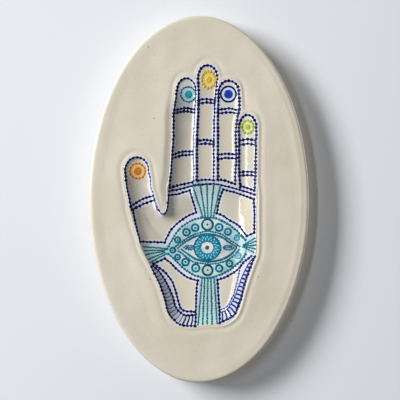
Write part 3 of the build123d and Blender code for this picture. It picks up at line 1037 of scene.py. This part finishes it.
for points in (PANEL_UPPER, PANEL_LOWER[1:]):
    border.line(points, BORDER_STRING, lift=STRING_LIFT, base=BORDER_BASE)
    border.dabs(points, BORDER_SPACING, *BORDER_DOT, base=BORDER_BASE)
eye_border_dots = border.make("eye_border_dots", slot="teal_enamel")

# %% [markdown]
# Rays of teal run from the eye to the fingers, to the wrist and to both sides of the palm.
# Each fan has five lines with beads of colour on them. At the sides of the palm they gather to a point.
# A fan is a list of far ends and one of near ends, which is easier to correct than angles are.

# %% Rays
RAY_FANS = [
    dict(far=[(-4.6, 9.6), (0.6, 10.4), (5.3, 10.6), (10, 10.2), (14.4, 9.2)],
         near=[(2.6, -12.4), (4.3, -12.8), (5.9, -12.9), (7.7, -12.8), (9.5, -12.4)],
         line_wide=0.55, bead_wide=0.74, pots=(0, 1)),
    dict(far=[(-0.8, -85.4), (2.3, -85), (5.4, -84.6), (8.8, -84.8), (12.2, -84.6)],
         near=[(2, -53.4), (3.8, -53.8), (5.9, -53.9), (8, -53.8), (10.2, -53.2)],
         line_wide=0.55, bead_wide=0.74, pots=(0, 1)),
    dict(far=[(-37.9, -32.4), (-37.1, -35), (-36.1, -37.6), (-34.7, -40.8), (-33.4, -43)],
         near=[(-22.8, -33.6), (-23.6, -34.7), (-24.4, -35.6), (-23.6, -36.4), (-22.6, -37.2)],
         line_wide=0.45, bead_wide=0.62, pots=(2, 1)),
    dict(far=[(38, -26.4), (38.2, -28.8), (38.1, -31.2), (37.8, -33.6), (37, -36)],
         near=[(30.2, -31), (30.2, -31.4), (30.2, -31.8), (30.2, -32.2), (30.2, -32.6)],
         line_wide=0.45, bead_wide=0.62, pots=(2, 2)),
]
RAY_SPACING = 1.75
RAY_BEAD = 0.8
teal_lines = []
rays = Brush(12)
for fan in RAY_FANS:
    for k, (far, near) in enumerate(zip(fan["far"], fan["near"])):
        teal_lines.append([far, near])
        rays.pot = fan["pots"][k % 2]
        rays.line([far, near], fan["line_wide"], lift=0.1, smooth=False)
        rays.dabs([far, near], RAY_SPACING, RAY_BEAD, fan["bead_wide"], lift=0.18)
palm_ray_lines = rays.make("palm_ray_lines", ["palm_rays"], "teal_enamel")

# %% [markdown]
# Every fingertip has a spot of its own colour: a daub in the middle, and a ring of dots or a line round it.
# The pale halo between them is a wash in the glaze. The spots are alike apart from sizes and colours,
# so one loop paints all five from a table.

# %% Spots on the fingertips
SPOTS = {
    "thumb": dict(at=(-42.1, 19.3), daub=2.8, ring=5.2, tall=1.0, dots=14, dot_wide=0.9),
    "index": dict(at=(-7.5, 71.5), daub=2.8, ring=5.1, tall=1.0, dots=17, dot_wide=0.8),
    "middle": dict(at=(6.4, 81.5), daub=2.15, ring=4.55, tall=1.25, dots=15, dot_wide=1.35),
    "ring": dict(at=(19.9, 71.6), daub=3.1, ring=5.2, tall=1.0, dots=0, dot_wide=0.72),
    "little": dict(at=(33.0, 49.2), daub=1.9, ring=4.0, tall=1.1, dots=12, dot_wide=1.05),
}
SPOT_SLOTS = {
    "thumb": "orange_enamel",
    "index": "teal_enamel",
    "middle": "yellow_enamel",
    "ring": "cobalt_enamel",
    "little": "lime_enamel",
}
FIRST_SPOT_SEED = 20
SPOT_STRING = 0.45
SPOT_DOT = 0.4
spot_pieces = {}
for finger, spot in SPOTS.items():
    brush = Brush(FIRST_SPOT_SEED + len(spot_pieces))
    x, z = spot["at"]
    brush.wash(circle(x, z, spot["daub"], count=30), 0.1, loops=4)
    ring_points = circle(x, z, spot["ring"], spot["tall"])
    brush.pot = 1
    if spot["dots"]:
        around = 2 * math.pi * spot["ring"] * (1 + spot["tall"]) / 2
        dot_long = SPOT_DOT * around / spot["dots"]
        brush.line(ring_points, SPOT_STRING * spot["dot_wide"], lift=STRING_LIFT, closed=True)
        brush.dabs(ring_points, around / spot["dots"], dot_long, spot["dot_wide"], closed=True)
    else:
        brush.line(ring_points, spot["dot_wide"], closed=True)
    spot_pieces[finger] = brush.make(finger + "_spot_paint", [finger + "_spot"], SPOT_SLOTS[finger])

# %% [markdown]
# Colours are picked as they look on screen, but shaders count light, so each is made linear first.
# A wash needs two more helpers: how far a point is from the nearest line, and one colour over another.
# The distance could be measured to every mark on the lines, but a KD tree only visits the near ones.

# %% Colours and distances
MARK_STEP = 0.6


def paint(red, green, blue):
    """A colour as seen on screen, 0 to 255, as the linear values that shaders use."""
    linear = []
    for level in (red, green, blue):
        share = level / 255
        linear.append(share / 12.92 if share <= 0.04045 else ((share + 0.055) / 1.055) ** 2.4)
    return (*linear, 1.0)


def line_distance(lines, x, z):
    """How far each point is from the nearest of the lines."""
    marks = np.vstack([even_points(smooth_curve(points), MARK_STEP) for points in lines])
    tree = KDTree(len(marks))
    for k, (mark_x, mark_z) in enumerate(marks):
        tree.insert((mark_x, mark_z, 0), k)
    tree.balance()
    return np.array([tree.find((point_x, point_z, 0))[2] for point_x, point_z in zip(x, z)])


def tinted(wash, mask, color):
    """The wash with another colour over it where the mask is 1."""
    return wash * (1 - mask[:, None]) + np.array(color) * mask[:, None]


print("mid grey is", round(paint(128, 128, 128)[0], 3), "in linear light")

# %% [markdown]
# Round the lines the enamel has bled into the glaze: lavender beside cobalt, aqua under the teal rays,
# and a pale halo in each spot. In the deep upper palm, and faintly in the fingers, a grey tint is painted
# shade, partly glaze that pooled thicker there. These soft washes are stored as a colour on the points of the
# coat.
# They could be painted in an image, but points that know how far they are from a line need no image,
# and a moved line takes its wash along.

# %% Washes in the glaze
CREAM = paint(208, 199, 177)
POOLED_SHADE = paint(174, 171, 167)
LAVENDER = paint(211, 219, 243)
AQUA = paint(157, 201, 209)
BAND_BLUES = [paint(182, 192, 212), paint(188, 198, 230)]
HALOS = {
    "thumb": paint(241, 182, 114),
    "index": paint(176, 230, 235),
    "middle": paint(240, 199, 118),
    "ring": paint(200, 217, 247),
    "little": paint(208, 214, 138),
}
TIP_WASHES = {"thumb": 0.0, "index": 0.65, "middle": 0.0, "ring": 0.3, "little": 0.1}
TIP_WASH = paint(210, 219, 222)
PANEL_BLEED = (1.5, 5)
COBALT_BLEED = (0.9, 2.1)
BAND_BLEED = (1.4, 2.8)
RAY_BLEED = (1.3, 2.4)
RAY_EDGE = (-1.6, 0.0)
HALO_INSIDE = 0.5
HALO_OUTSIDE = 0.8
wash = np.tile(np.array(CREAM), (len(coat_x), 1))
# painted shade: a grey tint in the deepest hollows, strongest in the upper palm, faint in the fingers and
# gone at the wrist, partly glaze that pooled thicker there
pooled = (0.1 + 0.35 * fade(coat_z, 0, 15)) * fade(-coat_z, 20, 50)
wash = tinted(wash, pooled * fade(-grid_depth[coat_used], -4.5, -1), POOLED_SHADE)
panel_within = inside_distance(panel_curve, coat_x, coat_z)
wash = tinted(wash, 0.75 * fade(-panel_within, *PANEL_BLEED), LAVENDER)
wash = tinted(wash, 0.85 * fade(line_distance(cobalt_lines, coat_x, coat_z), *COBALT_BLEED), LAVENDER)
for band, band_blue in zip(ladder_bands, BAND_BLUES):
    wash = tinted(wash, 0.9 * fade(line_distance([band], coat_x, coat_z), *BAND_BLEED), band_blue)
off_edge = fade(grid_out[coat_used], *RAY_EDGE)
wash = tinted(wash, 0.9 * off_edge * fade(line_distance(teal_lines, coat_x, coat_z), *RAY_BLEED), AQUA)
for finger, share in TIP_WASHES.items():
    band_z = BANDS[finger][0][1][1]
    above_band = fade(-coat_z, -band_z - 1, -band_z + 1)
    in_finger = fade(finger_hollow(FINGERS[finger], coat_x, coat_z)[1], -0.5, 0.5)
    wash = tinted(wash, share * above_band * in_finger, TIP_WASH)
for finger, spot in SPOTS.items():
    from_spot = np.hypot(coat_x - spot["at"][0], (coat_z - spot["at"][1]) / spot["tall"])
    halo = fade(from_spot, spot["ring"] - HALO_INSIDE, spot["ring"] + HALO_OUTSIDE)
    wash = tinted(wash, 0.9 * halo, HALOS[finger])
wash_layer = hand_coat.data.color_attributes.new("wash", "FLOAT_COLOR", "POINT")
wash_layer.data.foreach_set("color", wash.astype(np.float32).ravel())
print("washes on", len(coat_x), "points")

# %% [markdown]
# Materials are built from nodes. Small classes keep them readable: a Value wraps a socket, so that
# Python's own +, - and * add Math nodes, and Nodes has one method for every other node.


# %% Shader maths as Python expressions
class Value:
    """A socket in a node tree, for use in arithmetic."""

    def __init__(self, nodes, socket):
        self.nodes = nodes
        self.socket = socket

    def math(self, operation, first, second):
        """A Math node with two values or numbers."""
        return self.nodes.node("ShaderNodeMath", dict(operation=operation), {0: first, 1: second})

    def __add__(self, other):
        return self.math("ADD", self, other)

    def __mul__(self, other):
        return self.math("MULTIPLY", self, other)

    def __sub__(self, other):
        return self.math("SUBTRACT", self, other)

    def __rsub__(self, other):
        return self.math("SUBTRACT", other, self)

    __radd__ = __add__
    __rmul__ = __mul__


class Nodes:
    """A node tree, of a material or of the world."""

    def __init__(self, tree):
        self.tree = tree

    def join(self, value, socket):
        """Links a value to a socket, or sets the socket to a constant."""
        if isinstance(value, Value):
            self.tree.links.new(value.socket, socket)
        else:
            socket.default_value = value

    def node(self, kind, settings={}, inputs={}, output=0):
        """Any node: its settings first, then the values or links of its inputs."""
        made = self.tree.nodes.new(kind)
        for key, value in settings.items():
            setattr(made, key, value)
        for key, value in inputs.items():
            self.join(value, made.inputs[key])
        return Value(self, made.outputs[output])


print("node kit ready")

# %% [markdown]
# A Finish is a material of this plaque, with one Principled shader. What is the same all over goes
# straight to the shader's sockets, and what varies over the surface is linked with feed.
# All textures are placed by Object coordinates in metres, so their scale is that of the real piece.


# %% Finishes
class Finish(Nodes):
    """A material with a Principled shader. Constants go straight to the shader's sockets."""

    def __init__(self, name, constants):
        self.material = bpy.data.materials.new(name)
        self.material.use_nodes = True
        super().__init__(self.material.node_tree)
        self.shader = self.tree.nodes["Principled BSDF"]
        for socket, value in constants.items():
            self.shader.inputs[socket].default_value = value
        self.place = self.node("ShaderNodeTexCoord", output="Object")

    def noise(self, scale, detail):
        """Soft random values from 0 to 1, with that many patches to a metre."""
        inputs = {"Vector": self.place, "Scale": scale, "Detail": detail}
        return self.node("ShaderNodeTexNoise", {}, inputs)

    def rise(self, value, low, high):
        """0 below one value and 1 above another, with a soft step between."""
        soft = dict(interpolation_type="SMOOTHSTEP")
        return self.node("ShaderNodeMapRange", soft, {0: value, 1: low, 2: high})

    def mix(self, share, first, second):
        """One colour turning into another. Mix has a set of sockets per kind, so its colours go by number."""
        return self.node("ShaderNodeMix", dict(data_type="RGBA"), {0: share, 6: first, 7: second}, output=2)

    def bump(self, height, distance):
        """A normal from heights, with the height of a full step in metres."""
        return self.node("ShaderNodeBump", {}, {"Height": height, "Distance": distance, "Strength": 1.0})

    def feed(self, **sockets):
        """Links what varies to the shader: base_color, roughness, normal and so on."""
        for name, value in sockets.items():
            self.join(value, self.shader.inputs[name.replace("_", " ").title()])
        return self.material


print("finish kit ready")

# %% [markdown]
# The slab has a satin cream glaze: warm and cool patches a few centimetres wide, fine specks of clay
# showing through, and a few dark pinholes where air escaped in the kiln. On the back the glaze stops
# short of the foot ring, and buff bare clay shows.

# %% Satin clay
BARE_DARK = paint(176, 146, 114)
BARE_LIGHT = paint(206, 180, 148)
satin = Finish("satin clay", {"IOR": 1.5})
patches = satin.noise(28, 3)
specks = satin.noise(900, 2)
cream = satin.mix(patches, paint(199, 190, 170), paint(216, 209, 195))
cream = satin.mix(0.35 * satin.rise(specks, 0.56, 0.72), cream, paint(180, 166, 142))
split = satin.node("ShaderNodeSeparateXYZ", {}, {0: satin.place})
across, depth, height = (Value(satin, split.socket.node.outputs[k]) for k in range(3))
flat_place = satin.node("ShaderNodeCombineXYZ", {}, {0: across, 1: height})
scattered = {"Vector": flat_place, "Scale": 17.0}
pore_cells = satin.node("ShaderNodeTexVoronoi", dict(voronoi_dimensions="2D"), scattered)
pinhole = 1 - satin.rise(pore_cells, 0.005, 0.009)
cream = satin.mix(0.8 * pinhole, cream, paint(96, 80, 60))
to_center = (0, -CENTER_Z * MM, 0)
centered = satin.node("ShaderNodeVectorMath", dict(operation="ADD"), {0: flat_place, 1: to_center})
scale_to_oval = (1 / (HALF_WIDTH * MM), 1 / (HALF_HEIGHT * MM), 0)
in_oval = satin.node("ShaderNodeVectorMath", dict(operation="MULTIPLY"), {0: centered, 1: scale_to_oval})
from_middle = satin.node("ShaderNodeVectorMath", dict(operation="LENGTH"), {0: in_oval}, output="Value")
ragged = from_middle + 0.05 * satin.noise(60, 3)
bare = (1 - satin.rise(ragged, 0.87, 0.885)) * satin.rise(depth, (BACK_Y - 0.6) * MM, (BACK_Y - 0.3) * MM)
buff = satin.mix(satin.noise(220, 4), BARE_DARK, BARE_LIGHT)
satin_bump = 0.5 * satin.noise(140, 3) + 0.1 * specks - pinhole
satin_clay = satin.feed(
    base_color=satin.mix(bare, cream, buff),
    roughness=0.34 + 0.12 * patches + 0.4 * bare,
    normal=satin.bump(satin_bump, 0.00012),
)
plaque_clay.data.materials.append(satin_clay)
print(satin_clay.name, "on", plaque_clay.name)

# %% [markdown]
# Foot ring and lugs were left without glaze, so that they don't stick to the kiln's shelf. Bare clay is matte
# and buff, with dark grains of grog, which is ground fired clay. The grains are bumps too, as they are real.

# %% Bare clay
raw = Finish("bare clay", {"IOR": 1.45})
grog = raw.noise(1300, 3)
raw_color = raw.mix(raw.noise(160, 4), BARE_DARK, BARE_LIGHT)
raw_color = raw.mix(0.5 * raw.rise(grog, 0.58, 0.7), raw_color, paint(128, 98, 72))
bare_clay = raw.feed(
    base_color=raw_color,
    roughness=0.8 + 0.15 * grog,
    normal=raw.bump(0.7 * raw.noise(240, 4) + 0.3 * grog, 0.0003),
)
print(bare_clay.name, "ready")

# %% [markdown]
# In the hand the glaze is thick and glossy, so it mirrors the lamp in thin white streaks.
# Its colour comes from the washes, with their painted shade in the deep hollows, and is a little clouded
# in random patches. A soft bump bends the streaks, as in glaze that has run.

# %% Gloss glaze
gloss = Finish("gloss glaze", {"IOR": 1.5})
wash_color = gloss.node("ShaderNodeAttribute", dict(attribute_name="wash"))
cloudy = gloss.noise(90, 3)
pooled = gloss.mix(0.12 * cloudy, wash_color, paint(236, 232, 226))
gloss_glaze = gloss.feed(
    base_color=pooled,
    roughness=0.06 + 0.06 * cloudy,
    normal=gloss.bump(gloss.noise(120, 2), 0.0001),
)
hand_coat.data.materials.append(gloss_glaze)
print(gloss_glaze.name, "on", hand_coat.name)

# %% [markdown]
# Every enamel is mixed of two tones, deep where the paint pooled and thin elsewhere, in patches of its
# own size. One function makes them all, so that they differ only in tones, patches and shine.


# %% Enamels
def enamel(name, deep, thin, patch=700, shine=0.25):
    """Painted enamel: thick and deep in places, watery in others."""
    coat = Finish(name, {"IOR": 1.5, "Specular IOR Level": shine})
    pool = coat.rise(coat.noise(patch, 2), 0.34, 0.66)
    return coat.feed(
        base_color=coat.mix(pool, paint(*deep), paint(*thin)),
        roughness=0.2 + 0.12 * pool,
        normal=coat.bump(coat.noise(1600, 2), 0.00003),
    )


cobalt = enamel("cobalt enamel", (2, 4, 40), (10, 14, 88), 330, 0.1)
slate = enamel("slate blue enamel", (40, 50, 104), (84, 98, 150), 330, 0.1)
blue = enamel("bright cobalt enamel", (14, 20, 96), (36, 48, 138), 330, 0.1)
royal = enamel("royal blue enamel", (20, 42, 146), (46, 80, 194), 330)
teal = enamel("teal enamel", (0, 68, 84), (8, 98, 116), 400, 0.5)
lid_teal = enamel("lid teal enamel", (0, 80, 102), (0, 112, 134), 400, 0.12)
# painted highlight: a paler teal for the circlet lines in the eye's right corner
highlight_teal = enamel("teal enamel with painted highlight", (58, 138, 158), (100, 170, 186), 400)
deep_teal = enamel("deep teal enamel", (0, 52, 66), (3, 80, 96), 400, 0.15)
green_teal = enamel("green teal enamel", (2, 76, 80), (26, 110, 108), 400)
turquoise = enamel("turquoise enamel", (0, 106, 134), (6, 134, 162), 700, 0.15)
aqua = enamel("aqua enamel", (134, 184, 190), (180, 206, 207), 160, 0.9)
pale_aqua = enamel("pale aqua enamel", (146, 200, 214), (180, 217, 226), 300)
white = enamel("white enamel", (172, 182, 188), (200, 201, 205), 180, 0.9)
cream_white = enamel("cream white enamel", (160, 188, 186), (180, 202, 198), 300)
fleck_blue = enamel("pale blue enamel", (96, 186, 204), (150, 212, 224))
orange = enamel("orange enamel", (206, 118, 0), (222, 146, 18))
ochre = enamel("ochre enamel", (178, 104, 12), (202, 138, 44))
yellow = enamel("yellow enamel", (202, 182, 0), (218, 198, 20))
mustard = enamel("mustard enamel", (186, 160, 16), (214, 190, 62))
lime = enamel("lime enamel", (134, 146, 14), (170, 176, 60), 500)
moss = enamel("moss enamel", (138, 152, 30), (178, 188, 76), 500)
pupil_green = enamel("pupil enamel", (12, 54, 38), (22, 72, 48))
lagoon = enamel("lagoon enamel", (34, 148, 168), (64, 176, 192))
print("pots from", cobalt.name, "to", lagoon.name)

# %% [markdown]
# Each piece gets the pots that its strokes were painted from, in the order in which they are counted there.

# %% Paint on the pieces
painted = [
    (finger_dots_piece, [cobalt]),
    (palm_dots_piece, [cobalt, slate]),
    (wrist_ladders, [cobalt, slate, blue]),
    (eye_lid_lines, [lid_teal]),
    (eye_border_dots, [lid_teal]),
    (palm_ray_lines, [teal, green_teal, lid_teal]),
    (eye_circlet_rings, [deep_teal, pale_aqua, cream_white, lid_teal, highlight_teal]),
    (eye_iris_ring, [turquoise, lid_teal]),
    (eye_panel_wash, [aqua]),
    (eye_white_wash, [white]),
    (eye_flecks, [fleck_blue]),
    (eye_pupil_dot, [pupil_green]),
    (spot_pieces["thumb"], [orange, ochre]),
    (spot_pieces["index"], [lagoon, teal]),
    (spot_pieces["middle"], [yellow, mustard]),
    (spot_pieces["ring"], [royal, cobalt]),
    (spot_pieces["little"], [lime, moss]),
]
for piece, pots in painted:
    for pot in pots:
        piece.data.materials.append(pot)
print(len(painted), "painted pieces")

# %% [markdown]
# The foot ring, lugs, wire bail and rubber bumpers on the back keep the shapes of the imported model,
# which are right as they are. They only need finishes: bare clay, drawn steel and soft black rubber.

# %% Finishes on the back
steel = Finish("drawn steel wire", {"Base Color": paint(176, 176, 180), "Metallic": 1.0})
drawn = steel.noise(2200, 3)
wire = steel.feed(roughness=0.26 + 0.2 * drawn, normal=steel.bump(drawn, 0.00002))

soft = Finish("soft rubber", {"IOR": 1.5})
dust = soft.noise(500, 3)
rubber = soft.feed(
    base_color=soft.mix(soft.rise(dust, 0.45, 0.75), paint(38, 38, 40), paint(70, 69, 68)),
    roughness=0.55 + 0.2 * dust,
    normal=soft.bump(soft.noise(1800, 2), 0.00004),
)


def finish_node(node, material):
    """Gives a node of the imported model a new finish."""
    mesh_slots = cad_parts[node].material_slots
    for slot in mesh_slots:
        slot.material = material
    print(node, "has", len(mesh_slots), "material slot(s)")


for node, material in dict(
    foot_ring=bare_clay, left_lug=bare_clay, right_lug=bare_clay, hanging_bail=wire, wall_bumpers=rubber
).items():
    finish_node(node, material)

# %% [markdown]
# The plaque hangs on a plain pale wall, which takes the place of a floor. Seen from behind, a wall would
# hide the piece, so its front only shows to the camera, and every other ray passes through:
# the back is then lit like the front.

# %% Wall
WALL_SIZE = 3.0
wall_mesh = bpy.data.meshes.new("wall")
wall_corners = [(-1, -1), (1, -1), (1, 1), (-1, 1)]
wall_mesh.from_pydata([(x * WALL_SIZE, 0, z * WALL_SIZE) for x, z in wall_corners], [], [(0, 1, 2, 3)])
wall = bpy.data.objects.new("wall", wall_mesh)
bpy.context.scene.collection.objects.link(wall)
dull = {"Roughness": 0.9, "Base Color": paint(222, 225, 230), "Specular IOR Level": 0.0}
plaster = Finish("pale plaster", dull)
seen = plaster.node("ShaderNodeLightPath", output="Is Camera Ray")
behind = plaster.node("ShaderNodeNewGeometry", output="Backfacing")
clear = plaster.node("ShaderNodeBsdfTransparent")
solid = Value(plaster, plaster.shader.outputs[0])
choice = plaster.node("ShaderNodeMixShader", {}, {0: seen * (1 - behind), 1: clear, 2: solid})
plaster.join(choice, plaster.tree.nodes["Material Output"].inputs["Surface"])
wall_mesh.materials.append(plaster.material)
print("wall", 2 * WALL_SIZE, "m wide")

# %% [markdown]
# The world gives a little even light from all sides. To the camera, and in the mirror of the gloss and
# the wire, it is pale instead: the back is seen before a plain ground, and the steel doesn't turn black.

# %% World
PALE = (0.74, 0.76, 0.8, 1.0)
AMBIENT = 0.12
world = bpy.data.worlds.new("studio")
bpy.context.scene.world = world
world.use_nodes = True
sky = Nodes(world.node_tree)
light_node = sky.tree.nodes["Background"]
sky.join((1, 1, 1, 1), light_node.inputs["Color"])
sky.join(AMBIENT, light_node.inputs["Strength"])
even_light = Value(sky, light_node.outputs[0])
pale_ground = sky.node("ShaderNodeBackground", {}, {"Color": PALE})
to_camera = sky.node("ShaderNodeLightPath", output="Is Camera Ray")
to_mirror = sky.node("ShaderNodeLightPath", output="Is Glossy Ray")
either = to_camera.math("MAXIMUM", to_camera, to_mirror)
sky_mix = sky.node("ShaderNodeMixShader", {}, {0: either, 1: even_light, 2: pale_ground})
sky.join(sky_mix, sky.tree.nodes["World Output"].inputs["Surface"])
print(world.name, "light", AMBIENT)

# %% [markdown]
# A soft lamp from the left and a little above models the relief: the left walls of the hollows fall
# into shade and the right walls light up. A narrow strip lamp nearer to the camera draws the thin white
# streaks in the gloss. Two lamps behind the face light the back and the far side of the rim.

# %% Lamps
plaque_middle = Vector((0, FACE_Y * MM, CENTER_Z * MM))


def soft_lamp(name, way, distance, width, height, watts):
    """An area lamp, like a window, that looks at the plaque from a direction."""
    lamp = bpy.data.objects.new(name, bpy.data.lights.new(name, "AREA"))
    lamp.data.shape = "RECTANGLE"
    lamp.data.size = width
    lamp.data.size_y = height
    lamp.data.energy = watts
    lamp.location = plaque_middle + Vector(way).normalized() * distance
    lamp.rotation_euler = (plaque_middle - lamp.location).to_track_quat("-Z", "Y").to_euler()
    bpy.context.scene.collection.objects.link(lamp)
    print(name, watts, "W")


soft_lamp("key lamp", (-0.79, -0.5, 0.38), distance=3.0, width=0.88, height=1.6, watts=135)
soft_lamp("strip lamp", (-0.37, -0.92, 0.08), distance=1.7, width=0.12, height=0.8, watts=5)
soft_lamp("back lamp", (-0.55, 0.8, 0.45), distance=1.3, width=0.5, height=0.7, watts=14)
soft_lamp("side lamp", (0.9, 0.35, 0.25), distance=1.5, width=0.5, height=0.9, watts=11)

# %% [markdown]
# The camera looks straight at the face through a long lens, which keeps the oval free of perspective.
# Its distance follows from the width of the picture at the face.

# %% Camera
FRAME_WIDTH = 0.272
CAMERA_RIGHT = 0.0006
CAMERA_DOWN = 0.0005
camera_data = bpy.data.cameras.new("camera")
camera_data.lens = 135
camera_data.sensor_width = 36
camera = bpy.data.objects.new("camera", camera_data)
camera_distance = FRAME_WIDTH * camera_data.lens / camera_data.sensor_width
camera.location = plaque_middle + Vector((CAMERA_RIGHT, -camera_distance, -CAMERA_DOWN))
camera.rotation_euler = (math.radians(90), 0, 0)
bpy.context.scene.collection.objects.link(camera)
bpy.context.scene.camera = camera
bpy.context.scene.view_settings.view_transform = "Standard"
print(f"camera {camera_distance:.3f} m from the face")
